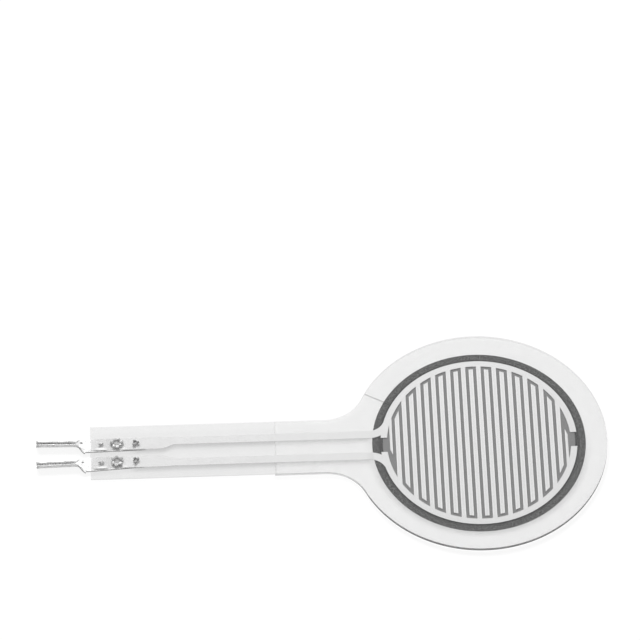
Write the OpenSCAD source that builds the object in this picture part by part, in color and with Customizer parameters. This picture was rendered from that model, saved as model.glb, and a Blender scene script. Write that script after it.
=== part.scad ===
// Thin film pressure sensor with a round sensing head and a flat two wire tail.
// Silver combs are printed under the clear upper film and a carbon disc on the clear lower film.
// An adhesive ring holds the films apart, and pressing the head brings carbon and silver together.
// The origin is the centre of the head on the underside of the lower film.
// X points from the terminals to the head and Z points up. All lengths are in millimetres.

/* [Sensing head] */
// Diameter of the round head
head_d = 30; // [27:0.5:34]
// Width of the clear border around the carbon disc
border_w = 2.5; // [1.6:0.1:3.4]
// How far the carbon disc reaches past the silver rings
carbon_rim = 1; // [0.4:0.1:1.2]
// How far the adhesive covers the outer edge of the silver rings
ring_seat = 0.25; // [0.1:0.05:0.5]
// Width of the air vent slit in the adhesive
vent_w = 0.12; // [0.1:0.02:0.4]
// Direction of the vent slit, anticlockwise from X
vent_angle = 151; // [130:1:160]

/* [Tail] */
// Distance from the centre of the head to the end of the tail
tail_len = 45.4; // [40:0.2:70]
// Width of the tail
tail_w = 7.4; // [6.6:0.1:9]
// Radius of the necks between head and tail
neck_r = 5; // [2:0.5:8]
// Length of the tail's end that is upper film alone
single_len = 21.5; // [12:0.1:24]

/* [Layers] */
// Thickness of the upper film
upper_film_t = 0.15; // [0.1:0.01:0.25]
// Thickness of the lower film
lower_film_t = 0.15; // [0.12:0.01:0.25]
// Thickness of the adhesive between the films
adhesive_t = 0.1; // [0.08:0.01:0.2]
// Thickness of the silver print
silver_t = 0.02; // [0.01:0.005:0.03]
// Thickness of the carbon print
carbon_t = 0.02; // [0.01:0.005:0.03]

/* [Silver combs] */
// Width of the half rings that carry the fingers
ring_w = 0.75; // [0.5:0.05:1.2]
// Opening between the ends of the two half rings
ring_opening = 2; // [1.2:0.1:3]
// Width of a finger
finger_w = 0.55; // [0.3:0.05:0.9]
// Gap between neighbouring fingers
finger_gap = 0.35; // [0.2:0.05:0.6]
// Gap between a finger's tip and the opposite half ring
tip_gap = 0.4; // [0.2:0.05:0.7]
// How far the outermost fingers reach past the middle
end_reach = 1.5; // [1:0.1:2]
// How much shorter the outer edge of an outermost finger is
end_slant = 0.8; // [0.2:0.1:0.9]

/* [Traces] */
// Distance between the two traces, centre to centre
trace_spacing = 3; // [2.6:0.1:4]
// Width of a trace
trace_w = 1; // [0.6:0.05:1.2]
// Inner radius of the bend that leads a trace into its half ring
bend_r = 2; // [1:0.1:3]
// How far the bend's inner arc dips into the half ring
bend_dip = 0.02; // [0.01:0.01:0.1]
// Distance between the two pads and terminals, centre to centre
pitch = 2.54; // [2.4:0.02:3]
// Width of a pad
pad_w = 1.6; // [1.5:0.05:1.8]
// Length of a pad
pad_len = 8.3; // [7.5:0.1:10]
// Length over which a pad narrows to its trace
pad_taper = 1.7; // [0.4:0.1:2]
// Distance from the tail's end to the pads
pad_setback = 0.1; // [0:0.05:0.4]

/* [Terminals] */
// Thickness of the terminal sheet
sheet_t = 0.2; // [0.14:0.01:0.22]
// Width of a terminal's plate
plate_w = 1.8; // [1.6:0.05:2.1]
// Length of a terminal's plate under the film
plate_len = 6.5; // [6.2:0.1:7.2]
// Corner radius of the plate's inner end
plate_corner = 0.3; // [0.1:0.05:0.6]
// Length of the terminal that stands out of the film
pin_out = 6.3; // [4:0.1:12]
// Height of the folded pin
pin_h = 0.5; // [0.35:0.01:0.7]
// Width of the groove between the folded edges of the pin
seam_w = 0.22; // [0.12:0.01:0.3]
// Outer radius of the pin's folds
fold_r = 0.15; // [0.05:0.01:0.18]
// Bevel at the pin's tip
tip_bevel = 0.08; // [0.04:0.01:0.15]
// Angle by which each terminal is turned outwards about its four leaves
terminal_turn = 1.3; // [0:0.1:2]
// Length of the neck between plate and pin
neck_len = 1.2; // [0.8:0.1:1.6]
// Distance from the film's end to the neck
neck_setback = 0.3; // [0.1:0.1:1]
// Length over which the folded walls run out along the neck
wall_run = 0.85; // [0.4:0.05:1]

/* [Clinches] */
// Distance of the single leaf from the film's end
single_pos = 1.3; // [0.8:0.1:1.5]
// Width of the hole of the single leaf
single_hole = 0.36; // [0.3:0.02:0.5]
// Distance of the four leaves from the film's end
flower_pos = 3.1; // [2.8:0.1:3.4]
// Width of the hole of the four leaves
flower_hole = 0.92; // [0.7:0.02:1]
// Distance of the pair of leaves from the film's end
pair_pos = 5.3; // [5.1:0.1:5.6]
// Width of the hole of the pair of leaves
pair_hole = 0.5; // [0.4:0.02:0.6]
// Thickness of a leaf
leaf_t = 0.1; // [0.06:0.01:0.12]
// Inner radius of a leaf's curl over the film
curl_r = 0.12; // [0.08:0.01:0.16]
// Slit between the roots of neighbouring leaves
leaf_slit = 0.06; // [0.02:0.02:0.1]
// Clearance between the leaves and the hole in film and pad
leaf_clearance = 0.03; // [0.01:0.01:0.05]

/* [Hidden] */
$fn = 96;

// Radii of the prints and of the adhesive's window, from the head's edge inwards
head_r = head_d / 2;
carbon_r = head_r - border_w;
ring_r = carbon_r - carbon_rim;
window_r = ring_r - ring_seat;
ring_in_r = ring_r - ring_w;
ring_mid_r = ring_r - ring_w / 2;
tip_r = ring_in_r - tip_gap;

// Centres of the neck arcs, which touch the head's circle and the tail's edge
neck_y = tail_w / 2 + neck_r;
neck_x = -sqrt(pow(head_r + neck_r, 2) - pow(neck_y, 2));

// Ends of the tail and of the lower layers, and the heights of the layers
tail_x = -tail_len;
layer_x = tail_x + single_len;
adhesive_z = lower_film_t;
upper_film_z = adhesive_z + adhesive_t;
silver_z = upper_film_z - silver_t;
top_z = upper_film_z + upper_film_t;

// Fingers: one comb's fingers sit two steps apart, and the other comb is turned half a turn
step = finger_w + finger_gap;
fingers = floor((tip_r - finger_gap / 2) / step) + 1;
end_in = step * (fingers - 1) + finger_gap / 2;
end_out = min(end_in + finger_w, ring_in_r - finger_gap);

// Bend of a trace: its inner arc runs into the half ring's outer edge almost along it
trace_y = trace_spacing / 2;
bend_y = trace_y + trace_w / 2 + bend_r;
bend_x = -sqrt(pow(ring_r + bend_r - bend_dip, 2) - pow(bend_y, 2));

// Terminal: the plate lies against the pad, and the pin is the sheet folded to a U
plate_z = silver_z - sheet_t;
pin_w = 2 * sheet_t + seam_w;
neck_start = -neck_setback - neck_len;
neck_steps = 16;

// Each clinch: place along the plate, width of its hole, turn, and the sides that carry a leaf
clinches = [
    [single_pos, single_hole, 0, [2]],
    [flower_pos, flower_hole, 15, [0, 1, 2, 3]],
    [pair_pos, pair_hole, 20, [0, 1]]
];

// Length by which a cutting shape passes the faces that it cuts
over = 1;

film_colour = [0.93, 0.94, 0.95, 0.45];
silver_colour = [0.86, 0.86, 0.87];
carbon_colour = [0.30, 0.30, 0.31];
adhesive_colour = [0.95, 0.95, 0.93, 0.5];
metal_colour = [0.74, 0.74, 0.76];

// Outline of a layer whose tail ends at end_x
module outline(end_x) {
    circle(head_r);
    difference() {
        polygon([
            [end_x, -tail_w / 2], [neck_x, -tail_w / 2], [neck_x, -neck_y], [0, 0],
            [neck_x, neck_y], [neck_x, tail_w / 2], [end_x, tail_w / 2]
        ]);
        for (side = [-1, 1])
            translate([neck_x, side * neck_y]) circle(neck_r);
    }
}

// Half ring above the middle
module half_ring() {
    intersection() {
        difference() {
            circle(ring_r);
            circle(ring_in_r);
        }
        translate([-ring_r - over, ring_opening / 2]) square([2 * (ring_r + over), ring_r + over]);
    }
}

// Fingers that hang from the half ring above, with the narrow outermost one on the left
module comb() {
    intersection() {
        union() {
            for (i = [1 : fingers - 1])
                translate([step * (2 * i - fingers) + finger_gap / 2, -ring_r])
                    square([finger_w, 2 * ring_r]);
        }
        union() {
            circle(tip_r);
            intersection() {
                circle(ring_mid_r);
                translate([-ring_r, 0]) square([2 * ring_r, ring_r]);
            }
        }
    }
    intersection() {
        circle(ring_mid_r);
        polygon([
            [-end_in, -end_reach], [-end_in, ring_r], [-end_out, ring_r], [-end_out, end_slant - end_reach]
        ]);
    }
}

// Pad, straight trace and bend above the middle of the tail
module trace() {
    pad_x = tail_x + pad_len;
    polygon([
        [tail_x + pad_setback, (pitch - pad_w) / 2], [pad_x, (pitch - pad_w) / 2],
        [pad_x + pad_taper, trace_y - trace_w / 2], [bend_x, trace_y - trace_w / 2],
        [bend_x, trace_y + trace_w / 2], [pad_x + pad_taper, trace_y + trace_w / 2],
        [pad_x, (pitch + pad_w) / 2], [tail_x + pad_setback, (pitch + pad_w) / 2]
    ]);
    difference() {
        intersection() {
            translate([bend_x, bend_y]) circle(bend_r + trace_w);
            polygon([[bend_x, bend_y], [bend_x, 0], [0, 0]]);
        }
        translate([bend_x, bend_y]) circle(bend_r);
        circle(ring_mid_r);
    }
}

// Square hole of one clinch, grown on every side by margin
module clinch_hole(clinch, margin) {
    width = clinch[1] + 2 * margin;
    rotate(clinch[2]) square(width, center = true);
}

// Places what follows at the film's end in line with the terminal on the given side
module at_terminal(side) {
    translate([tail_x + flower_pos, side * pitch / 2])
        rotate(-side * terminal_turn) translate([-flower_pos, 0]) children();
}

// Holes that the leaves of one terminal need in the film and the pad
module leaf_holes(side) {
    at_terminal(side) for (clinch = clinches)
        translate([clinch[0], 0]) clinch_hole(clinch, leaf_clearance);
}

// Artwork of one electrode: the upper one as printed, the lower one with its comb turned round
module electrode_print(side) {
    difference() {
        union() {
            rotate(side > 0 ? 0 : 180) {
                half_ring();
                comb();
            }
            mirror([0, side > 0 ? 0 : 1]) trace();
        }
        leaf_holes(side);
    }
}

module electrode(side) {
    color(silver_colour)
        translate([0, 0, silver_z]) linear_extrude(silver_t) electrode_print(side);
}

// Neck between pin and plate, narrower by inset on each side: its edges follow a cosine wave
module neck_outline(inset) {
    edge = [for (i = [0 : neck_steps])
        let (t = i / neck_steps)
        [neck_start + neck_len * t, pin_w / 2 - inset + (plate_w - pin_w) / 4 * (1 - cos(180 * t))]];
    polygon(concat(edge, [for (i = [neck_steps : -1 : 0]) [edge[i][0], -edge[i][1]]]));
}

// Plate with its rounded inner end and the neck, before the holes are pierced
module plate_outline() {
    neck_outline(0);
    translate([-neck_setback, -plate_w / 2])
        square([plate_len + neck_setback - plate_corner, plate_w]);
    translate([plate_len - plate_corner, -plate_w / 2 + plate_corner])
        square([plate_corner, plate_w - 2 * plate_corner]);
    for (side = [-1, 1])
        translate([plate_len - plate_corner, side * (plate_w / 2 - plate_corner)])
            circle(plate_corner);
}

// Plate with the walls of the fold, which follow the neck's edges and run out onto it
module plate() {
    difference() {
        linear_extrude(pin_h) plate_outline();
        translate([0, plate_w, 0]) rotate([90, 0, 0]) linear_extrude(2 * plate_w)
            polygon([
                [neck_start, pin_h], [neck_start + wall_run, sheet_t], [plate_len + over, sheet_t],
                [plate_len + over, pin_h + over], [neck_start, pin_h + over]
            ]);
        translate([0, 0, sheet_t]) linear_extrude(pin_h) neck_outline(sheet_t);
        translate([0, 0, -over]) linear_extrude(sheet_t + 2 * over) for (clinch = clinches)
            translate([clinch[0], 0]) clinch_hole(clinch, -leaf_t);
    }
}

// Section of the folded pin across its length
module pin_section() {
    seam_r = seam_w / 2;
    difference() {
        union() {
            translate([-pin_w / 2, fold_r]) square([pin_w, pin_h - fold_r]);
            translate([-pin_w / 2 + fold_r, 0]) square([pin_w - 2 * fold_r, fold_r]);
            for (side = [-1, 1])
                translate([side * (pin_w / 2 - fold_r), fold_r]) circle(fold_r);
        }
        translate([0, sheet_t + seam_r]) circle(seam_r);
        translate([-seam_r, sheet_t + seam_r]) square([seam_w, pin_h]);
    }
}

// Folded pin with its bevelled tip
module pin() {
    difference() {
        translate([-pin_out, 0, 0]) rotate([90, 0, 90])
            linear_extrude(pin_out + neck_start) pin_section();
        for (edge = [-1, 1])
            translate([-pin_out, edge * pin_w / 2, -over]) rotate(45)
                linear_extrude(pin_h + 2 * over) square(tip_bevel * sqrt(2), center = true);
    }
}

// Leaf that rises through the film at the hole's edge and curls outwards onto the film
module leaf(hole_w) {
    rise = top_z - plate_z;
    reach = 2 * (curl_r + leaf_t);
    root_w = hole_w - 2 * leaf_t - leaf_slit;
    tip_w = root_w / 2;
    intersection() {
        rotate([90, 0, 0]) linear_extrude(hole_w, center = true) {
            translate([hole_w / 2 - leaf_t, 0]) square([leaf_t, rise]);
            translate([hole_w / 2 + curl_r, rise]) intersection() {
                difference() {
                    circle(curl_r + leaf_t);
                    circle(curl_r);
                }
                translate([-reach, 0]) square([2 * reach, reach]);
            }
        }
        translate([hole_w / 2 - leaf_t, 0, -over]) linear_extrude(rise + reach + over)
            polygon([[0, -root_w / 2], [leaf_t, -root_w / 2], [reach, -tip_w / 2],
                     [reach, tip_w / 2], [leaf_t, root_w / 2], [0, root_w / 2]]);
    }
}

// Terminal on the given side of the tail, folded and pierced from one sheet
module terminal(side) {
    color(metal_colour) translate([0, 0, plate_z]) at_terminal(side) {
        plate();
        pin();
        for (clinch = clinches, edge = clinch[3])
            translate([clinch[0], 0, 0]) rotate(clinch[2] + 90 * edge) leaf(clinch[1]);
    }
}

module upper_film() {
    color(film_colour) translate([0, 0, upper_film_z])
        linear_extrude(upper_film_t) difference() {
            outline(tail_x);
            for (side = [-1, 1])
                leaf_holes(side);
        }
}

module upper_electrode() {
    electrode(1);
}

module lower_electrode() {
    electrode(-1);
}

// Adhesive with its round window, its vent, and the seats of the prints
module adhesive() {
    color(adhesive_colour) difference() {
        translate([0, 0, adhesive_z]) linear_extrude(adhesive_t) difference() {
            outline(layer_x);
            circle(window_r);
            rotate(vent_angle) translate([0, -vent_w / 2]) square([head_d, vent_w]);
        }
        translate([0, 0, adhesive_z - over]) cylinder(r = carbon_r, h = carbon_t + over);
        for (side = [-1, 1])
            translate([0, 0, silver_z]) linear_extrude(silver_t + over) electrode_print(side);
    }
}

module carbon_print() {
    color(carbon_colour) translate([0, 0, lower_film_t]) cylinder(r = carbon_r, h = carbon_t);
}

module lower_film() {
    color(film_colour) linear_extrude(lower_film_t) outline(layer_x);
}

module upper_terminal() {
    terminal(1);
}

module lower_terminal() {
    terminal(-1);
}

upper_film();
upper_electrode();
lower_electrode();
adhesive();
carbon_print();
lower_film();
upper_terminal();
lower_terminal();
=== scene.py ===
import math
import bpy
import numpy as np
from mathutils import Matrix, Vector


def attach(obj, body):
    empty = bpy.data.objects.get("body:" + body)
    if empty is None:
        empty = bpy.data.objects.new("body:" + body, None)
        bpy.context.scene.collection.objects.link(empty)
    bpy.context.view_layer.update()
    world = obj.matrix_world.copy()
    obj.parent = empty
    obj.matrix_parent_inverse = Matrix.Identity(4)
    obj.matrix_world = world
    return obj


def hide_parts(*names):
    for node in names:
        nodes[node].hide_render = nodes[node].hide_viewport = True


print("sensor: loading the packed model")
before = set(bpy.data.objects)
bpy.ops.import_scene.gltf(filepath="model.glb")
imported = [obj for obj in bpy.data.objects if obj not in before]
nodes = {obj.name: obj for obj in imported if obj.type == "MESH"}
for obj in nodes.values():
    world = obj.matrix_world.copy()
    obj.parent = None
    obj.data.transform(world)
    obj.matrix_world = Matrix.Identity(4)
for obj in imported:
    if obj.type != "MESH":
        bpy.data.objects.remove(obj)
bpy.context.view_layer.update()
mm = 0.001

# Places that several pieces share, in millimetres from the middle of the head
layout = {
    "flowerPlace": -42.3,   # the middle clinch of each terminal
    "pitch": 2.54,          # between the two terminals
    "turn": 1.3,            # degrees that each terminal is turned
    "layersEnd": -23.9,     # where the lower film and the glue end
    "carbonRadius": 12.5,
}


# A wire is one socket with arithmetic: an expression on wires adds the Math nodes that it needs.
class Wire:
    def __init__(self, recipe, socket):
        self.recipe = recipe
        self.socket = socket

    def maths(self, operation, first, second=None):
        inputs = {0: first}
        if second is not None:
            inputs[1] = second
        return self.recipe.put("ShaderNodeMath", {"operation": operation}, inputs)

    def __add__(self, other):
        return self.maths("ADD", self, other)

    def __radd__(self, other):
        return self.maths("ADD", other, self)

    def __sub__(self, other):
        return self.maths("SUBTRACT", self, other)

    def __rsub__(self, other):
        return self.maths("SUBTRACT", other, self)

    def __mul__(self, other):
        return self.maths("MULTIPLY", self, other)

    def __rmul__(self, other):
        return self.maths("MULTIPLY", other, self)

    def __truediv__(self, other):
        return self.maths("DIVIDE", self, other)

    def __neg__(self):
        return self.maths("MULTIPLY", self, -1.0)

    def __abs__(self):
        return self.maths("ABSOLUTE", self)

    def root(self):
        return self.maths("SQRT", self)

    def sine(self):
        return self.maths("SINE", self)

    def most(self, other):
        return self.maths("MAXIMUM", self, other)

    def share(self):
        return self.maths("FRACT", self)

    def power(self, other):
        return self.maths("POWER", self, other)

    # 0 below low, 1 above high, and an eased step between them
    def step(self, low, high):
        return self.recipe.put("ShaderNodeMapRange", {"interpolation_type": "SMOOTHSTEP"},
                               {"Value": self, "From Min": low, "From Max": high})

    def output(self, name):
        return Wire(self.recipe, self.socket.node.outputs[name])


# A recipe is one material, or the sky. put() adds a node of a type, with its settings first and its sockets
# next.
class Recipe:
    def __init__(self, name, shelf=None):
        self.owner = (bpy.data.materials if shelf is None else shelf).new(name)
        self.owner.use_nodes = True
        self.tree = self.owner.node_tree
        self.tree.nodes.clear()

    def put(self, kind, settings=None, inputs=None, output=0):
        made = self.tree.nodes.new(kind)
        for key, value in (settings or {}).items():
            setattr(made, key, value)
        for key, value in (inputs or {}).items():
            if isinstance(value, Wire):
                self.tree.links.new(value.socket, made.inputs[key])
            else:
                made.inputs[key].default_value = value
        return Wire(self, made.outputs[output]) if made.outputs else made

    # Object coordinates in millimetres, as one vector wire
    def place(self):
        coordinates = self.put("ShaderNodeTexCoord", {}, {}, "Object")
        return self.put("ShaderNodeVectorMath", {"operation": "SCALE"}, {0: coordinates, "Scale": 1000.0})

    def split(self, vector):
        parts = self.put("ShaderNodeSeparateXYZ", {}, {0: vector})
        return parts, parts.output("Y"), parts.output("Z")

    def mixColour(self, factor, first, second):
        return self.put("ShaderNodeMix", {"data_type": "RGBA"}, {0: factor, 6: first, 7: second}, 2)

    def noise(self, vector, scale, detail=2.0, roughness=0.5):
        return self.put("ShaderNodeTexNoise", {}, {"Vector": vector, "Scale": scale, "Detail": detail,
                                                   "Roughness": roughness})

    def stretch(self, vector, scale, turn=0.0):
        return self.put("ShaderNodeMapping", {}, {"Vector": vector, "Scale": scale,
                                                  "Rotation": (0.0, 0.0, math.radians(turn))})

    def bump(self, height, strength, distance):
        return self.put("ShaderNodeBump", {}, {"Height": height, "Strength": strength, "Distance": distance})

    def glow(self, kind, strength):
        return self.put(kind, {}, {"Color": grey(1.0), "Strength": strength})

    def finish(self, surface, kind="ShaderNodeOutputMaterial"):
        self.put(kind, {}, {"Surface": surface})
        return self.owner


def grey(level):
    return (level, level, level, 1.0)


# Camera: a long lens that looks down on the head from the viewer's side
print("sensor: camera, floor and light")
shot = {
    "heading": 2.11,      # degrees, turned right of straight ahead
    "tilt": 54.66,        # degrees below level
    "roll": 0.03,         # degrees
    "lens": 365.6,        # millimetres on a 36 mm sensor
    "distance": 759.1,    # millimetres from the camera to the middle of the head, along the view
    "across": 18.57,      # millimetres from the view's middle to the head's, to the right
    "below": 14.15,       # and downwards
    "headTop": 0.4,       # millimetres, height of the film's upper face
}


def makeCamera(values):
    heading = math.radians(values["heading"])
    tilt = math.radians(values["tilt"])
    level = Vector((math.sin(heading), math.cos(heading), 0.0))
    ahead = level * math.cos(tilt) - Vector((0.0, 0.0, math.sin(tilt)))
    right = Vector((math.cos(heading), -math.sin(heading), 0.0))
    up = right.cross(ahead)
    turn = Matrix.Rotation(math.radians(values["roll"]), 3, ahead)
    right = turn @ right
    up = turn @ up
    head = Vector((0.0, 0.0, values["headTop"]))
    place = head - right * values["across"] + up * values["below"] - ahead * values["distance"]
    data = bpy.data.cameras.new("shotCamera")
    data.lens = values["lens"]
    data.sensor_width = 36.0
    data.clip_start = 0.01
    data.clip_end = 20.0
    camera = bpy.data.objects.new("shotCamera", data)
    bpy.context.scene.collection.objects.link(camera)
    axes = Matrix((right, up, -ahead)).transposed()
    camera.matrix_world = Matrix.Translation(place * mm) @ axes.to_4x4()
    bpy.context.scene.camera = camera


makeCamera(shot)

# Table and light: a broad lamp behind the object, and an even white sky for the rest
studio = {
    "floorSize": 4.0,         # metres
    "floorDrop": 0.12,        # millimetres from the film's underside to the table
    "floorTone": 0.82,
    "shadowShare": 0.26,      # how much of the table's own lit colour the camera sees
    "floorLift": 0.82,        # and what the table adds to that, so that it shows white
    "sky": 0.55,
    "lampPower": 4.1,         # watts
    "lampSize": (0.60, 0.18),  # metres
    "lampPlace": (-0.10, 0.52, 0.36),
}


# 1 where the camera sees a thing straight, in a mirror or through something clear
def seenDirectly(recipe):
    path = recipe.put("ShaderNodeLightPath", {}, {}, "Is Camera Ray")
    return path.most(path.output("Is Glossy Ray")).most(path.output("Is Transmission Ray"))


def makeFloor(values):
    half = values["floorSize"] / 2
    drop = -values["floorDrop"] * mm
    corners = [(-half, -half, drop), (half, -half, drop), (half, half, drop), (-half, half, drop)]
    mesh = bpy.data.meshes.new("table")
    mesh.from_pydata(corners, [], [(0, 1, 2, 3)])
    floor = bpy.data.objects.new("table", mesh)
    bpy.context.scene.collection.objects.link(floor)
    recipe = Recipe("whiteTable")
    tone = values["floorTone"]
    paint = recipe.put("ShaderNodeBsdfPrincipled", {}, {"Base Color": grey(tone), "Roughness": 0.9,
                                                        "Specular IOR Level": 0.0})
    thin = recipe.put("ShaderNodeBsdfDiffuse", {}, {"Color": grey(tone * values["shadowShare"])})
    glow = recipe.glow("ShaderNodeEmission", values["floorLift"])
    shown = recipe.put("ShaderNodeAddShader", {}, {0: thin, 1: glow})
    mixed = recipe.put("ShaderNodeMixShader", {}, {0: seenDirectly(recipe), 1: paint, 2: shown})
    mesh.materials.append(recipe.finish(mixed))


def makeSky(values):
    recipe = Recipe("whiteSky", bpy.data.worlds)
    dim = recipe.glow("ShaderNodeBackground", values["sky"])
    white = recipe.glow("ShaderNodeBackground", 1.0)
    mixed = recipe.put("ShaderNodeMixShader", {}, {0: seenDirectly(recipe), 1: dim, 2: white})
    bpy.context.scene.world = recipe.finish(mixed, "ShaderNodeOutputWorld")


def makeLamp(values):
    data = bpy.data.lights.new("softbox", "AREA")
    data.shape = "RECTANGLE"
    data.size, data.size_y = values["lampSize"]
    data.energy = values["lampPower"]
    lamp = bpy.data.objects.new("softbox", data)
    bpy.context.scene.collection.objects.link(lamp)
    place = Vector(values["lampPlace"])
    lamp.rotation_mode = "QUATERNION"
    lamp.rotation_quaternion = (-place).to_track_quat("-Z", "Y")
    lamp.location = place


makeFloor(studio)
makeSky(studio)
makeLamp(studio)
scene = bpy.context.scene
scene.view_settings.view_transform = "Standard"
scene.cycles.transparent_max_bounces = 32

# Clear plastic: hardly there on its faces, greyer and denser in painted shade where the cut edge is seen
print("sensor: finishes")
filmLook = {
    "middle": 0.33,       # millimetres, height between its two faces
    "tone": 0.34,
    "upperFace": 0.085,   # share of the light that a face keeps back
    "underFace": 0.030,
    "freeFace": 0.18,     # the same for the under face where no glue wets it
    "rimHaze": 0.03,      # more haze beside the cut edge
    "endLine": 0.0,       # a line of glue pressed out at the end of the lower layers
    "paintedInkShadow": (0.21, 0.38),  # painted shadow beside the ink, where the layers are bonded and where the film is free
    "edge": 0.90,
    "edgeTone": 0.16,
    "tailEdge": 0.45,     # how strong the cut edge is along the tail, beside the head's
    "freeEdge": 0.22,     # and beyond the lower layers
    "grain": 0.25,        # unevenness of the haze
    "roughness": 0.12,
    "gloss": 1.0,         # share of the clear skin's mirror reflection
    "glossUp": True,      # the skin is on the upper face
}
backingLook = dict(filmLook, middle=0.075, tone=0.74, upperFace=0.20, underFace=0.014, freeFace=0.014,
                   rimHaze=0.0, paintedInkShadow=None, tailEdge=0.40, freeEdge=0.30, roughness=0.15, glossUp=False)
glueLook = dict(backingLook, middle=0.20, tone=0.5, upperFace=0.010, underFace=0.010, freeFace=0.010,
                endLine=0.14, edge=0.85, edgeTone=0.18, grain=0.5, roughness=0.35, gloss=0.0)
# The painted shadow that the prints throw, in millimetres
paintedInkShadow = {
    "nearEdges": ((0.47, 1.0), (-2.07, -2.0)),  # of each print, at its pad and at its trace
    "taper": (-37.1, -35.4),    # where the pad turns into the trace
    "start": (-41.0, -39.8),
    "end": (-13.2, -12.4),
    "reach": 0.85,
    "carbonReach": 0.95,
    "carbonShare": 0.9,
}


# Painted shadow beside each pad and trace and round the carbon's near side: full at the print's edge, none at
# the reach's end
def paintedShadowBesideInk(along, beside, values):
    taper = along.step(*values["taper"])
    shade = 0
    for padEdge, traceEdge in values["nearEdges"]:
        away = taper * (traceEdge - padEdge) + padEdge - beside
        shade = away.step(-0.03, 0.03) * (1 - away.step(0.0, values["reach"])) + shade
    shade = shade * along.step(*values["start"]) * (1 - along.step(*values["end"]))
    carbonRadius = layout["carbonRadius"]
    away = (along * along + beside * beside).root() - carbonRadius
    ring = away.step(-0.03, 0.03) * (1 - away.step(0.0, values["carbonReach"]))
    return shade + ring * (-beside / carbonRadius).step(-0.2, 0.6) * values["carbonShare"]


def clearPlastic(name, look):
    recipe = Recipe(name)
    place = recipe.place()
    geometry = recipe.put("ShaderNodeNewGeometry", {}, {}, "Normal")
    facing = recipe.split(geometry)[2]
    along, beside, height = recipe.split(place)
    fromMiddle = (along * along + beside * beside).root()
    tailRim = abs(beside).step(2.9, 3.7) * (1 - along.step(-20.0, -18.0))
    rim = tailRim + fromMiddle.step(14.1, 15.0) * along.step(-12.5, -11.0)
    layersEnd = layout["layersEnd"]
    isFree = 1 - along.step(layersEnd - 0.05, layersEnd + 0.05)
    inHead = along.step(-15.5, -12.5)
    isFace = abs(facing).step(0.35, 0.75)
    isUpper = height.step(look["middle"] - 0.02, look["middle"] + 0.02)
    haze = recipe.noise(place, 0.9, 4.0, 0.6)
    under = isFree * (look["freeFace"] - look["underFace"]) + look["underFace"]
    faceAlpha = isUpper * (look["upperFace"] - under) + under
    faceAlpha = faceAlpha * (1 + (haze - 0.5) * look["grain"]) + rim * isUpper * look["rimHaze"]
    atEnd = 1 - along.step(layersEnd + 0.12, layersEnd + 0.24)
    faceAlpha = faceAlpha + isUpper * atEnd * look["endLine"]
    # painted shadow beside the prints, laid on the under face as haze
    if look["paintedInkShadow"]:
        bonded, free = look["paintedInkShadow"]
        shade = paintedShadowBesideInk(along, beside, paintedInkShadow) * (isFree * (free - bonded) + bonded)
        faceAlpha = faceAlpha + shade * (1 - isUpper)
    # painted shade on the cut edges, a fifth of it on an edge seen from behind through the film
    tailEdge = isFree * (look["freeEdge"] - look["tailEdge"]) + look["tailEdge"]
    cutEdge = (inHead * (1 - tailEdge) + tailEdge) * look["edge"]
    wallAlpha = cutEdge * (1 - geometry.output("Backfacing") * 0.8)
    alpha = isFace * (faceAlpha - wallAlpha) + wallAlpha
    colour = recipe.mixColour(isFace, grey(look["edgeTone"]), grey(look["tone"]))
    rough = recipe.noise(place, 3.0, 3.0) * 0.08 + look["roughness"]
    ripple = recipe.bump(recipe.noise(place, 0.35, 2.0), 0.06, 0.0004)
    body = recipe.put("ShaderNodeBsdfPrincipled", {}, {"Base Color": colour, "Alpha": alpha,
                                                       "Roughness": rough, "Specular IOR Level": 0.0,
                                                       "Normal": ripple})
    slant = recipe.put("ShaderNodeLayerWeight", {}, {"Blend": 0.5}, "Facing")
    skinSide = isUpper if look["glossUp"] else 1 - isUpper
    mirror = (slant.power(5.0) * 0.96 + 0.04) * isFace * skinSide * look["gloss"]
    gloss = recipe.put("ShaderNodeBsdfAnisotropic", {}, {"Color": grey(1.0), "Roughness": look["roughness"],
                                                         "Normal": ripple})
    return recipe.finish(recipe.put("ShaderNodeMixShader", {}, {0: mirror, 1: body, 2: gloss}))


# Carbon ink: a rough dark print, greyer in the window with a painted reflection, where air lies between it
# and the upper film
carbonLook = {
    "silverShadowTone": 0.0,        # painted shadow close to the silver ring
    "ringTone": 0.030,
    "windowReflectionTone": 0.23,
    "grainTone": 0.115,
    "windowRadius": 11.25,  # millimetres
    "lineRadius": 11.6,
    "grain": 5.0,           # how fine the grain is
    "roughness": 0.75,
}


def carbonInk(look):
    recipe = Recipe("carbonInk")
    place = recipe.place()
    x, y = recipe.split(place)[:2]
    radius = (x * x + y * y).root()
    inside = 1 - radius.step(look["windowRadius"] - 0.05, look["windowRadius"] + 0.05)
    fine = recipe.noise(place, look["grain"], 2.0, 0.6)
    coarse = recipe.noise(place, 0.25, 2.0)
    line = look["lineRadius"]
    # painted shadow of the silver ring: darkest just beyond the window
    tone = recipe.mixColour(radius.step(line, line + 0.25), grey(look["silverShadowTone"]), grey(look["ringTone"]))
    # painted reflection: the window greyer, where air lies under the upper film
    tone = recipe.mixColour(inside, tone, grey(look["windowReflectionTone"]))
    grains = fine.step(0.40, 0.66) * (1 - inside * 0.85) * (0.6 + coarse * 0.8)
    grains = grains * (0.35 + radius.step(line, line + 0.3) * 0.65)
    colour = recipe.mixColour(grains, tone, grey(look["grainTone"]))
    skin = recipe.put("ShaderNodeBsdfPrincipled", {}, {"Base Color": colour, "Roughness": look["roughness"],
                                                       "Specular IOR Level": 0.15,
                                                       "Normal": recipe.bump(fine, 0.3, 0.00001)})
    return recipe.finish(skin)
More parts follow.
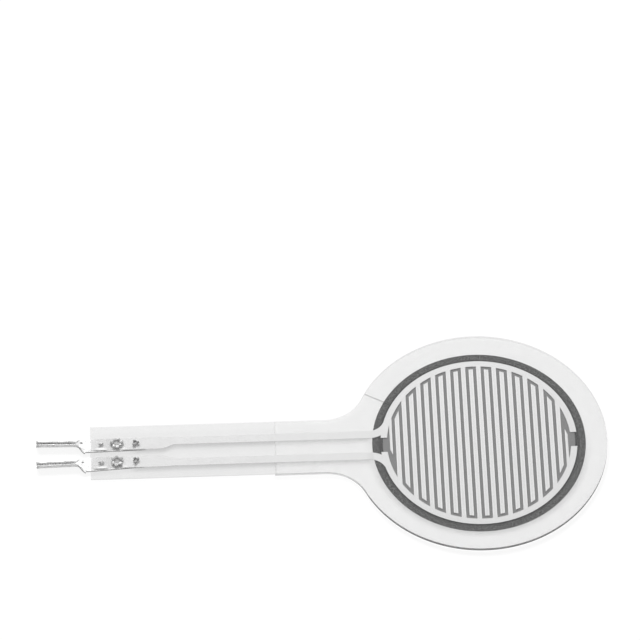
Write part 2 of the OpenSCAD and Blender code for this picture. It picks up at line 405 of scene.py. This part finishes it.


# Silver ink: satin, with the fine diagonal hatch of the printing mesh and brighter edges on the fingers,
# painted shade in the dent rings and a painted highlight beside each plate's near edge
silverLook = {
    "tone": 0.60,
    "freeTone": 0.77,         # beyond the lower layers
    "edgeTone": 0.80,         # along the edges of a finger
    "metal": 0.35,
    "roughness": 0.42,
    "hatch": 0.24,            # millimetres between the mesh's threads
    "hatchTurn": 28.0,        # degrees
    "step": 0.9,              # millimetres from finger to finger
    "halfFinger": 0.275,
    "fingersEnd": 10.3,       # radius within which there are fingers
    "dentShade": 26.0,            # how close the rings of painted shade are, on the dents that the middle clinch presses into the print
    "highlightTone": 1.0,              # tone of the painted highlight where the film bulges over the plate's edge
    # along the plate from the middle clinch: start and end of each painted highlight
    "highlightSpans": [(-2.4, -1.2), (0.55, 1.15)],
    "highlightSide": -0.63,    # and its distance from the plate's middle line
}


def silverInk(look):
    recipe = Recipe("silverInk")
    place = recipe.place()
    x, y = recipe.split(place)[:2]
    radius = (x * x + y * y).root()
    half = look["halfFinger"]
    across = abs((x / look["step"]).share() - 0.5) * look["step"]
    onFinger = 1 - radius.step(look["fingersEnd"], look["fingersEnd"] + 0.1)
    rim = across.step(half * 0.5, half * 0.85) * onFinger
    thin = across.step(half - 0.045, half - 0.015) * onFinger
    hatchX, hatchY = recipe.split(recipe.stretch(place, (1.0, 1.0, 1.0), look["hatchTurn"]))[:2]
    threads = 2 * math.pi / look["hatch"]
    weave = (hatchX * threads).sine() * (hatchY * threads).sine()
    blotch = recipe.noise(place, 2.5, 3.0)
    layersEnd = layout["layersEnd"]
    isFree = 1 - x.step(layersEnd - 0.05, layersEnd + 0.05)
    colour = recipe.mixColour(isFree, grey(look["tone"]), grey(look["freeTone"]))
    colour = recipe.mixColour(rim, colour, grey(look["edgeTone"]))
    side = y.step(-0.01, 0.01) * 2 - 1
    away = x - layout["flowerPlace"]
    beside = y - side * (layout["pitch"] / 2) + side * away * math.tan(math.radians(layout["turn"]))
    fromClinch = (away * away + beside * beside).root()
    # painted shade in the dent rings, on the tail end's side of the middle clinch
    dentShade = (fromClinch * look["dentShade"]).sine().step(0.2, 1.0) * (1 - away.step(-0.8, -0.5))
    dentShade = dentShade * fromClinch.step(0.75, 0.85) * (1 - fromClinch.step(1.25, 1.4))
    # the print darker by a tenth round the first clinch, on the tail end's side of the middle one
    darkerTowardsEnd = (1 - away.step(-1.2, 0.8)) * (1 - fromClinch.step(2.2, 3.2))
    shade = 1 + weave * 0.045 + (blotch - 0.5) * 0.06 - dentShade * 0.12 - darkerTowardsEnd * 0.10
    shade = shade * (1 - thin * 0.75)
    colour = recipe.put("ShaderNodeVectorMath", {"operation": "SCALE"}, {0: colour, "Scale": shade})
    # painted highlight beside the plate's near edge, in the given spans
    length = 0
    for start, end in look["highlightSpans"]:
        length = away.step(start - 0.25, start + 0.35) * (1 - away.step(end - 0.35, end + 0.25)) + length
    paintedHighlight = (1 - abs(beside - look["highlightSide"]).step(0.05, 0.21)) * length
    colour = recipe.mixColour(paintedHighlight, colour, grey(look["highlightTone"]))
    skin = recipe.put("ShaderNodeBsdfPrincipled", {}, {"Base Color": colour, "Metallic": look["metal"],
                                                       "Roughness": look["roughness"] + blotch * 0.1,
                                                       "Normal": recipe.bump(weave, 0.2, 0.00001)})
    return recipe.finish(skin)


# Tinned metal: bright, with rolling lines along the strip, dull patches, and painted shade in the hollows and
# on the cut edges
tinLook = {"tone": 0.74, "dullTone": 0.42, "paintedShadeTone": 0.13, "roughness": 0.30, "metal": 0.75}


def tinnedMetal(look):
    recipe = Recipe("tinnedMetal")
    place = recipe.place()
    paintedLightAndMottle = recipe.put("ShaderNodeAttribute", {"attribute_name": "paintedLightAndMottle"}, {}, "Fac")
    along = recipe.noise(recipe.stretch(place, (0.7, 9.0, 9.0)), 1.6, 3.0)
    blotch = recipe.noise(place, 3.2, 4.0, 0.65)
    dull = blotch.step(0.46, 0.72)
    colour = recipe.mixColour(dull * 0.7, grey(look["tone"]), grey(look["dullTone"]))
    colour = recipe.mixColour(paintedLightAndMottle, grey(look["paintedShadeTone"]), colour)
    rough = look["roughness"] + dull * 0.18 + along * 0.1 + (1 - paintedLightAndMottle) * 0.3
    metal = look["metal"] * paintedLightAndMottle.step(0.35, 0.95)
    skin = recipe.put("ShaderNodeBsdfPrincipled", {}, {"Base Color": colour, "Metallic": metal,
                                                       "Roughness": rough,
                                                       "Normal": recipe.bump(along + blotch, 0.35, 0.00003)})
    return recipe.finish(skin)


def dress(nodeName, material):
    for slot in nodes[nodeName].material_slots:
        slot.material = material


upperPlastic = clearPlastic("upperPlastic", filmLook)
lowerPlastic = clearPlastic("lowerPlastic", backingLook)
dress("adhesive", clearPlastic("clearGlue", glueLook))
silver = silverInk(silverLook)
dress("upper_electrode", silver)
dress("lower_electrode", silver)
carbon = carbonInk(carbonLook)
tin = tinnedMetal(tinLook)

# Shared surface maker: loops is columns x points x 3. Each column is one closed loop of points, its upper row
# first, then the right rim, the lower row backwards and the left rim. Quads join each column to the next one,
# and the two ends are closed row to row.
def loopFaces(count, around, rim):
    across = around // 2 - rim
    column, place = np.meshgrid(np.arange(count - 1), np.arange(around), indexing="ij")
    after = (place + 1) % around
    quads = np.stack([column * around + place, (column + 1) * around + place,
                      (column + 1) * around + after, column * around + after], -1).reshape(-1, 4).tolist()
    upper = np.arange(across - 1)
    lower = 2 * across + rim - 1 - upper
    ends = np.stack([upper, upper + 1, lower - 1, lower], -1).tolist()
    if rim:
        ends.append(list(range(across - 1, across + rim + 1)))
        ends.append(list(range(2 * across + rim - 1, around)) + [0])
    last = (count - 1) * around
    return quads + ends + [[last + point for point in reversed(face)] for face in ends]


# A sheet's loops from its upper and lower faces, both columns x across x 3. The rim between them stands out
# by the bulge, in the direction in which the face runs out.
def rimmedLoops(upper, lower, bulge):
    rows = [upper]
    for end, inner, first, second in ((-1, -2, upper, lower), (0, 1, lower, upper)):
        outward = first[:, end] - first[:, inner]
        outward = outward / np.maximum(np.linalg.norm(outward, axis=1), 1e-9)[:, None] * bulge
        rim = [first[:, end] * (1 - share) + second[:, end] * share + outward for share in (0.3, 0.7)]
        rows.append(np.stack(rim, 1))
        if end == -1:
            rows.append(lower[:, ::-1])
    return np.concatenate(rows, 1)


# A smooth step from 0 to 1: three times the square less twice the cube
def eased(value):
    value = np.clip(value, 0, 1)
    return value * value * (3 - 2 * value)


# A plate's own lengths, counted from its middle clinch along and across it, as the part's x and y
def onTail(away, beside, side):
    turn = math.radians(-side * layout["turn"])
    x = layout["flowerPlace"] + away * math.cos(turn) - beside * math.sin(turn)
    y = side * layout["pitch"] / 2 + away * math.sin(turn) + beside * math.cos(turn)
    return x, y


# A piece from points in millimetres: smooth but for edges sharper than the crease, with the painted light and
# mottle of each point as an attribute where the material reads it
def makePiece(name, points, faces, material, crease, paintedLightAndMottle=None):
    mesh = bpy.data.meshes.new(name)
    mesh.from_pydata((points * mm).tolist(), [], faces)
    mesh.materials.append(material)
    mesh.polygons.foreach_set("use_smooth", [True] * len(mesh.polygons))
    mesh.set_sharp_from_angle(angle=math.radians(crease))
    if paintedLightAndMottle is not None:
        attribute = mesh.attributes.new("paintedLightAndMottle", "FLOAT", "POINT")
        attribute.data.foreach_set("value", paintedLightAndMottle.astype(np.float32))
    mesh.update()
    piece = bpy.data.objects.new(name, mesh)
    bpy.context.scene.collection.objects.link(piece)
    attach(piece, "root")
    return piece


# Films: each is one sheet with a round head, necked to the tail, and the clinches press up the upper one
print("sensor: films")
film = {
    "headRadius": 14.996,   # millimetres, like all the lengths here
    "tailHalf": 3.7,
    "tailEnd": -45.4,
    "neckRadius": 5.0,
    "low": 0.256,           # just clear of the silver
    "high": 0.4,
    "across": 75,           # points from side to side
    "endSlant": 0.0,        # how far the tail's end is cut off square
    "lift": 0.022,          # height of the pressed collar
    "collarWidth": 0.22,
    "clinchedTo": -38.4,    # the columns are close together up to here
    # distance of each clinch from the middle one, its radius, and the strength of its collar
    "clinches": [(-1.8, 0.32, 0.7), (0.0, 0.72, 1.0), (2.2, 0.42, 0.8)],
}
backing = dict(film, tailEnd=layout["layersEnd"], low=0.0, high=0.1475, endSlant=0.07, lift=0.0)


# The middle of the neck's arc, x and y, and the x at which the arc meets the head's circle
def neckPlaces(values):
    reach = values["headRadius"] + values["neckRadius"]
    middleY = values["tailHalf"] + values["neckRadius"]
    middleX = -math.sqrt(reach ** 2 - middleY ** 2)
    return middleX, middleY, middleX * values["headRadius"] / reach


# Half the film's width at x: the tail's half width, then the neck's arc, then the head's circle
def halfWidth(x, values):
    neckX, neckY, touch = neckPlaces(values)
    arc = neckY - np.sqrt(np.clip(values["neckRadius"] ** 2 - (x - neckX) ** 2, 0, None))
    head = np.sqrt(np.clip(values["headRadius"] ** 2 - x ** 2, 0, None))
    return np.where(x < neckX, values["tailHalf"], np.where(x < touch, arc, head))


# Height that the clinches press into the film: a ring shaped swell round each clinch
def collar(x, y, values):
    raised = np.zeros_like(x)
    if not values["lift"]:
        return raised
    for side in (-1, 1):
        for away, radius, strength in values["clinches"]:
            middleX, middleY = onTail(away, 0.0, side)
            far = np.hypot(x - middleX, y - middleY)
            raised += values["lift"] * strength * np.exp(-((far - radius) / values["collarWidth"]) ** 2)
    return raised


# Column positions: close together over the clinches, wider along the tail, then by angle round the head
def filmColumns(values):
    neckX, neckY, touch = neckPlaces(values)
    radius = values["headRadius"]
    tailEnd = values["tailEnd"]
    clinched = np.linspace(tailEnd, values["clinchedTo"], 90) if values["lift"] else [tailEnd]
    straight = np.linspace(clinched[-1], neckX, 24)[1:]
    turned = np.linspace(0, math.asin((touch - neckX) / values["neckRadius"]), 20)[1:]
    neck = neckX + values["neckRadius"] * np.sin(turned)
    angles = np.linspace(math.acos(touch / radius), math.radians(0.5), 110)[1:]
    return np.concatenate([clinched, straight, neck, radius * np.cos(angles)])


# A film's faces: x by column, y by share of the half width, z level plus the collar's swell
def makeFilm(values, name, node, material):
    columns = filmColumns(values)
    share = np.linspace(-1, 1, values["across"])
    y = halfWidth(columns, values)[:, None] * share[None, :]
    atEnd = np.clip(1 - (columns - values["tailEnd"]) / 2, 0, 1)
    x = columns[:, None] + values["endSlant"] * atEnd[:, None] * share[None, :]
    raised = collar(x, y, values)
    upper = np.stack([x, y, values["high"] + raised], -1)
    lower = np.stack([x, y, values["low"] + raised], -1)
    loops = np.concatenate([upper, lower[:, ::-1]], 1)
    faces = loopFaces(loops.shape[0], loops.shape[1], 0)
    piece = makePiece(name, loops.reshape(-1, 3), faces, material, 40.0)
    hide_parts(node)


makeFilm(film, "upperFilmSheet", "upper_film", upperPlastic)
makeFilm(backing, "lowerFilmSheet", "lower_film", lowerPlastic)

# Carbon print: a thin disc whose edge wanders a little, as a screen print's does
print("sensor: carbon print")
disc = {
    "radius": 12.49,
    "low": 0.151,
    "high": 0.1685,
    "segments": 288,
    "wander": 0.012,
    # the profile from the upper pole to the lower one: share of the radius, and which face
    "profile": [(0.33, "high"), (0.67, "high"), (0.9, "high"), (1.0, "high"), (1.0, "low"), (0.5, "low")],
}


# A profile of radius and height spun round the head's middle, with one point at each pole. The edge's radius
# wanders by a sum of four sines of the angle.
def makeCarbonDisc(values):
    around = values["segments"]
    angle = np.arange(around) / around * 2 * math.pi
    wander = sum(np.sin(angle * turns + turns * turns) / turns ** 0.5 for turns in (7, 19, 43, 71))
    edge = values["radius"] - 0.01 + values["wander"] * wander / 4
    rings = []
    for share, height in values["profile"]:
        level = np.full_like(angle, values[height])
        rings.append(np.stack([edge * share * np.cos(angle), edge * share * np.sin(angle), level], -1))
    poles = np.array([[0.0, 0.0, values["high"]], [0.0, 0.0, values["low"]]])
    points = np.concatenate(rings + [poles])
    count = len(rings)
    ring, place = np.meshgrid(np.arange(count - 1), np.arange(around), indexing="ij")
    after = (place + 1) % around
    quads = np.stack([ring * around + place, (ring + 1) * around + place,
                      (ring + 1) * around + after, ring * around + after], -1).reshape(-1, 4).tolist()
    spin = np.arange(around)
    nextSpin = (spin + 1) % around
    top = np.stack([np.full(around, count * around), spin, nextSpin], -1).tolist()
    last = (count - 1) * around
    bottom = np.stack([np.full(around, count * around + 1), last + nextSpin, last + spin], -1).tolist()
    piece = makePiece("carbonDisc", points, quads + top + bottom, carbon, 40.0)
    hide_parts("carbon_print")


makeCarbonDisc(disc)

# Terminals: one strip of tinned sheet, folded to a pin, opened out at the neck and pierced in three places.
# Lengths along the strip are counted from the film's end, in millimetres.
print("sensor: terminals")
strip = {
    "sheet": 0.2,
    "level": 0.03,            # height of the plate's underside
    "pinEnd": -6.285,
    "bendLength": 0.188,      # developed length of each fold
    "wall": 0.28,             # straight part of each folded wall
    "pinFlat": 0.09,          # half the flat between the folds, in the pin
    "plateHalf": 0.9,
    "plateEnd": 6.5,
    "flowerPlace": 3.1,       # the middle clinch
    "corner": 0.3,
    "opening": (-1.85, -0.55),    # where the near fold opens out
    "farOpening": (-1.95, -1.2),  # and the far one
    "waist": (-2.1, -1.15, 0.85),  # where the far wall is narrow, and how much of it is gone
    "apron": 0.34,            # how far the plate's near side spreads beyond its far side at the film's end
    "bulge": 0.02,            # roundness of the cut edges
    "tipLength": 0.30,        # the ragged and flared tip of the pin
    "tipFlare": 0.05,
    # place along the plate, width of the hole, turn in degrees
    "holes": [(1.3, 0.36, 0.0), (3.1, 0.92, 15.0), (5.3, 0.5, 20.0)],
    "pierced": 0.38,          # height that the sheet is pushed up at a hole
    "grooveShade": {1: 0.22, -1: 0.0},  # how dark the painted shade in the groove of each pin is
    # spots of painted shade at the neck and along the plate's near edge of each: along, across, half length,
    # half width, slant, strength
    "shadeSpots": {1: [(-1.02, 0.22, 0.13, 0.10, 0.0, 1.0), (-1.27, -0.52, 0.20, 0.10, 0.8, 0.95),
                  (1.15, -0.88, 0.85, 0.09, 0.0, 0.9), (4.47, -0.88, 0.75, 0.09, 0.0, 0.85)],
              -1: [(-0.90, 0.22, 0.14, 0.09, 0.0, 0.9), (-1.22, -0.50, 0.20, 0.05, 0.8, 0.5),
                   (1.15, -0.88, 0.85, 0.09, 0.0, 0.8), (4.47, -0.88, 0.75, 0.09, 0.0, 0.75)]},
}
# Torn leaves of each clinch: turn, half width, reach over the film, rise, twist, and how bright its painted
# light is
leaves = {
    1: {0: [(200, 0.17, 0.20, 0.08, 0.2, 0.7), (20, 0.15, 0.12, 0.06, -0.2, 0.9)],
        1: [(14, 0.30, 0.42, 0.14, 0.3, 0.72), (66, 0.22, 0.34, 0.16, -0.5, 0.6),
            (112, 0.26, 0.40, 0.12, 0.4, 0.7), (172, 0.32, 0.42, 0.15, -0.3, 0.65),
            (226, 0.24, 0.34, 0.09, 0.6, 0.85), (282, 0.30, 0.38, 0.10, -0.2, 0.8),
            (330, 0.20, 0.32, 0.09, 0.5, 0.85)],
        2: [(110, 0.22, 0.26, 0.12, 0.3, 0.2), (20, 0.22, 0.24, 0.13, -0.3, 0.3),
            (215, 0.24, 0.22, 0.08, 0.2, 0.45)]},
    -1: {0: [(195, 0.16, 0.22, 0.08, -0.2, 0.65), (10, 0.17, 0.16, 0.07, 0.3, 0.9)],
         1: [(34, 0.28, 0.44, 0.16, -0.4, 0.65), (88, 0.24, 0.40, 0.13, 0.5, 0.6),
             (140, 0.30, 0.42, 0.15, -0.2, 0.75), (205, 0.28, 0.34, 0.09, 0.4, 0.75),
             (262, 0.26, 0.36, 0.10, -0.6, 0.85), (318, 0.28, 0.38, 0.10, 0.2, 0.8)],
         2: [(120, 0.20, 0.24, 0.13, -0.3, 0.2), (30, 0.22, 0.27, 0.10, 0.4, 0.25),
             (250, 0.20, 0.20, 0.09, 0.1, 0.5)]},
}
leafShape = {
    "steps": 15,
    "across": 7,
    "climb": 0.2,       # share of the path that goes straight up
    "root": 0.30,       # millimetres, height of the root over the plate's underside
    "thick": 0.045,     # half the leaf's thickness at its root
    "narrowing": 0.55,  # share of the width that is gone at the tip
    "torn": 0.35,
    "crumple": 0.035,
    "cup": 0.05,
    "bulge": 0.008,
}


# How far each point is inside a pierced hole: 1 in its middle, 0 outside, measured as a turned square
def pierce(x, y, values):
    inside = np.zeros_like(x)
    for place, width, turn in values["holes"]:
        cosine, sine = math.cos(math.radians(turn)), math.sin(math.radians(turn))
        alongHole = (x - place) * cosine + y * sine
        acrossHole = y * cosine - (x - place) * sine
        away = np.maximum(np.abs(alongHole), np.abs(acrossHole)) / (width / 2)
        inside = np.maximum(inside, 1 - eased((away - 0.72) / 0.4))
    return inside


# Column positions: close together at the pin's tip and where the near fold opens, even along the plate, and
# by angle round the plate's corner
def stripColumns(values):
    start, end, corner = values["pinEnd"], values["plateEnd"], values["corner"]
    low, high = values["opening"]
    return np.concatenate([start + 0.5 * np.linspace(0, 1, 12) ** 1.5,
                           np.linspace(start + 0.5, low, 14)[1:],
                           np.linspace(low, high, 24)[1:],
                           np.linspace(high, end - corner, 84)[1:],
                           end - corner * (1 - np.sin(np.linspace(0, math.pi / 2, 9)[1:]))])


# The strip's middle surface: flat, then a fold whose angle goes from a right angle in the pin to none in the
# plate, then a straight wall. Its two faces lie half a sheet to either side along the surface's normal. The
# near wall spreads into the apron, the far one is narrow at the waist, and the pin's tip is ragged.
def stripFaces(values, x, share, opened, flare):
    side, part = np.sign(share)[None, :], np.abs(share)[None, :]
    low, high = values["farOpening"]
    sideOpened = np.where(side > 0, eased((x - low) / (high - low))[:, None], opened[:, None])
    fold = (1 - sideOpened) * math.pi / 2
    fold = fold * (1 + 0.05 * np.sin(x * 3.1)[:, None] * (1 - sideOpened))
    plateFlat = values["plateHalf"] - values["bendLength"] - values["wall"]
    flat = values["pinFlat"] + (plateFlat - values["pinFlat"]) * sideOpened
    start, end, gone = values["waist"]
    waist = eased((x - start) / 0.4) * (1 - eased((x - end) / 0.9))
    radius = values["bendLength"] / np.maximum(fold, 1e-3)
    turned = np.clip(part - 1, 0, 1) * fold
    beyond = np.clip(part - 2, 0, 1) * values["wall"] * (1 - gone * waist[:, None] * (side > 0))
    y = np.clip(part, 0, 1) * flat + radius * np.sin(turned) + beyond * np.cos(fold)
    z = radius * (1 - np.cos(turned)) + beyond * np.sin(fold)
    corner, plateEnd = values["corner"], values["plateEnd"]
    rounded = np.clip((x - plateEnd + corner) / corner, 0, 1)
    narrowed = 1 - corner * (1 - np.sqrt(1 - rounded ** 2)) / values["plateHalf"]
    apron = values["apron"] * opened ** 2 * (1 - 0.8 * np.clip(x / plateEnd, 0, 1))
    y = (y + apron[:, None] * np.clip(part - 2, 0, 1) * (side < 0)) * narrowed[:, None]
    y = y + flare[:, None] * values["tipFlare"] * np.clip(part - 1, 0, 2) / 2
    ragged = flare[:, None] * values["tipFlare"] * np.sin(share * 7.0 + 1.3)[None, :]
    columns = np.repeat(x[:, None], share.size, 1) + np.maximum(ragged, 0)
    half = values["sheet"] / 2
    faces = []
    for above in (1, -1):
        offsetY = (y - above * half * np.sin(turned)) * side
        offsetZ = z + above * half * np.cos(turned) + half
        faces.append(np.stack([columns, offsetY, offsetZ], -1))
    return faces


# Painted light of each point, 1 in the open and 0 in a hollow's painted shade, with random mottle, for the
# two faces and the two rims in the order of the loops: lower in the pin's groove, in the holes, at the tip,
# at the dark spots and on the rims
def stripShade(values, whichSide, x, part, opened, flare, inside, upper, lower):
    inPin = 1 - opened[:, None]
    groove = inPin ** 2.5 * np.clip(1.35 - np.abs(part - 1.0) * 0.6, 0, 1) * (part < 2.75)
    scatter = np.random.default_rng(5 + whichSide).random(inside.shape)
    mottle = np.where(x < 2.0, 0.38, 0.16)[:, None] + 0.45 * scatter
    neck = eased((x - values["opening"][0]) / 0.5) * (1 - eased((x + 0.2) / 0.4))
    upperOpen = (1 - values["grooveShade"][whichSide] * groove) * (1 - 0.08 * inPin)
    upperOpen = upperOpen * (1 - (0.12 + 0.2 * mottle) * neck[:, None])
    upperOpen = upperOpen * (1 - inside) + mottle * inside
    upperOpen = upperOpen * (1 - flare[:, None]) + (mottle + 0.2) * flare[:, None]
    lowerOpen = (1 - 0.5 * inside) * (1 - 0.1 * inPin) * (1 - flare[:, None] * (0.8 - mottle))
    for place, away, length, width, slant, strength in values["shadeSpots"][whichSide]:
        for face, shade in ((upper, upperOpen), (lower, lowerOpen)):
            sideways = face[..., 1] - away + (face[..., 0] - place) * slant
            far = ((face[..., 0] - place) / length) ** 4 + (sideways / width) ** 4
            shade *= 1 - strength * np.exp(-far)
    # painted shade on the cut edges, darker at the tip and on the near one
    farRim = np.repeat((0.47 + 0.1 * opened - 0.12 * flare)[:, None], 2, 1)
    nearRim = farRim - 0.12 * np.repeat(opened[:, None], 2, 1)
    return np.concatenate([upperOpen, farRim, lowerOpen[:, ::-1], nearRim], 1)


# The strip's loops. A point's share goes to 1 over the flat, to 2 round the fold and to 3 along the wall, and
# is negative on the near side. Both faces are pushed up in the pierced holes.
def stripLoops(values, whichSide):
    x = stripColumns(values)
    share = np.concatenate([np.linspace(0, 1, 9), 1 + np.linspace(0, 1, 6)[1:],
                            2 + np.linspace(0, 1, 11)[1:]])
    share = np.concatenate([-share[:0:-1], share])
    low, high = values["opening"]
    opened = eased((x - low) / (high - low))
    flare = np.exp(-((x - values["pinEnd"]) / values["tipLength"]) ** 4)
    upper, lower = stripFaces(values, x, share, opened, flare)
    inside = pierce(upper[..., 0], upper[..., 1], values)
    lower[..., 2] += values["pierced"] * inside
    upper[..., 2] += (values["pierced"] + 0.03 - values["sheet"]) * inside
    paintedLightAndMottle = stripShade(values, whichSide, x, np.abs(share)[None, :], opened, flare, inside, upper, lower)
    return rimmedLoops(upper, lower, values["bulge"]), paintedLightAndMottle


# A leaf's path from its root: straight up through the film, then over in half an ellipse to its tip. Its half
# width narrows to the tip, its edges are torn, and its faces lie either side of the path.
def leafLoops(values, radius, leaf, seed):
    turn, half, reach, rise, twist, leafLight = leaf
    rng = np.random.default_rng(seed)
    steps, across, climb = values["steps"], values["across"], values["climb"]
    over = np.linspace(0, 1, steps)
    arc = np.clip((over - climb) / (1 - climb), 0, 1) * math.radians(168 + 14 * rng.random())
    out = radius + reach / 2 * (1 - np.cos(arc)) - 0.04
    up = values["root"] + 0.08 * np.clip(over / climb, 0, 1) + rise * np.sin(arc)
    thick = values["thick"] * (1 - 0.45 * over)
    slopeOut, slopeUp = np.gradient(out), np.gradient(up)
    length = np.hypot(slopeOut, slopeUp)
    normalOut, normalUp = -slopeUp / length, slopeOut / length
    share = np.linspace(-1, 1, across)
    torn = 1 + (rng.random(steps) - 0.5)[:, None] * values["torn"] * (np.abs(share) > 0.9)[None, :]
    width = half * (1 - values["narrowing"] * over ** 1.4)
    sideways = width[:, None] * share[None, :] * torn + twist * 0.12 * over[:, None] ** 2
    crumple = (rng.random((steps, across)) - 0.5) * values["crumple"] * over[:, None]
    cup = -values["cup"] * (share ** 2)[None, :] * np.sin(arc)[:, None]
    cosine, sine = math.cos(math.radians(turn)), math.sin(math.radians(turn))
    placed = []
    for above in (1, -1):
        radial = out[:, None] + above * (normalOut * thick)[:, None] + crumple
        height = up[:, None] + above * (normalUp * thick)[:, None] + crumple + cup
        x = radial * cosine - sideways * sine
        y = radial * sine + sideways * cosine
        placed.append(np.stack([x, y, height], -1))
    # painted light and shade: lighter on the crest and on leaves turned towards the viewer, half on the
    # underside, darker on the rims, with random mottle
    crest = np.sin(np.clip(arc, 0, math.pi))[:, None] * np.ones(across)[None, :]
    leafLight = leafLight * (1 + 0.15 * max(0.0, -sine))
    face = leafLight * (0.62 + 0.08 * crest) * (0.75 + 0.5 * rng.random((steps, across)))
    rimOpen = np.full((steps, 2), 0.4 * leafLight)
    paintedLightAndMottle = np.concatenate([face, rimOpen, 0.5 * face[:, ::-1], rimOpen], 1)
    return rimmedLoops(placed[0], placed[1], values["bulge"]), np.clip(paintedLightAndMottle, 0, 1)


# One terminal: the strip and its torn leaves, turned round the middle clinch on the tail
def makeTerminal(side, name, node):
    parts = [stripLoops(strip, side)]
    for clinch, torn in leaves[side].items():
        place, width = strip["holes"][clinch][:2]
        for order, leaf in enumerate(torn):
            made, shade = leafLoops(leafShape, width * 0.42, leaf, 31 * order + 7 * clinch + side + 1)
            made[..., 0] += place
            parts.append((made, shade))
    points, faces, shades, base = [], [], [], 0
    for made, shade in parts:
        for face in loopFaces(made.shape[0], made.shape[1], 2):
            faces.append([base + point for point in face])
        points.append(made.reshape(-1, 3))
        shades.append(shade.reshape(-1))
        base += made.shape[0] * made.shape[1]
    points, shades = np.concatenate(points), np.concatenate(shades)
    x, y = onTail(points[:, 0] - strip["flowerPlace"], points[:, 1], side)
    points = np.stack([x, y, points[:, 2] + strip["level"]], -1)
    piece = makePiece(name, points, faces, tin, 50.0, shades)
    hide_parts(node)


makeTerminal(1, "upperTerminalStrip", "upper_terminal")
makeTerminal(-1, "lowerTerminalStrip", "lower_terminal")
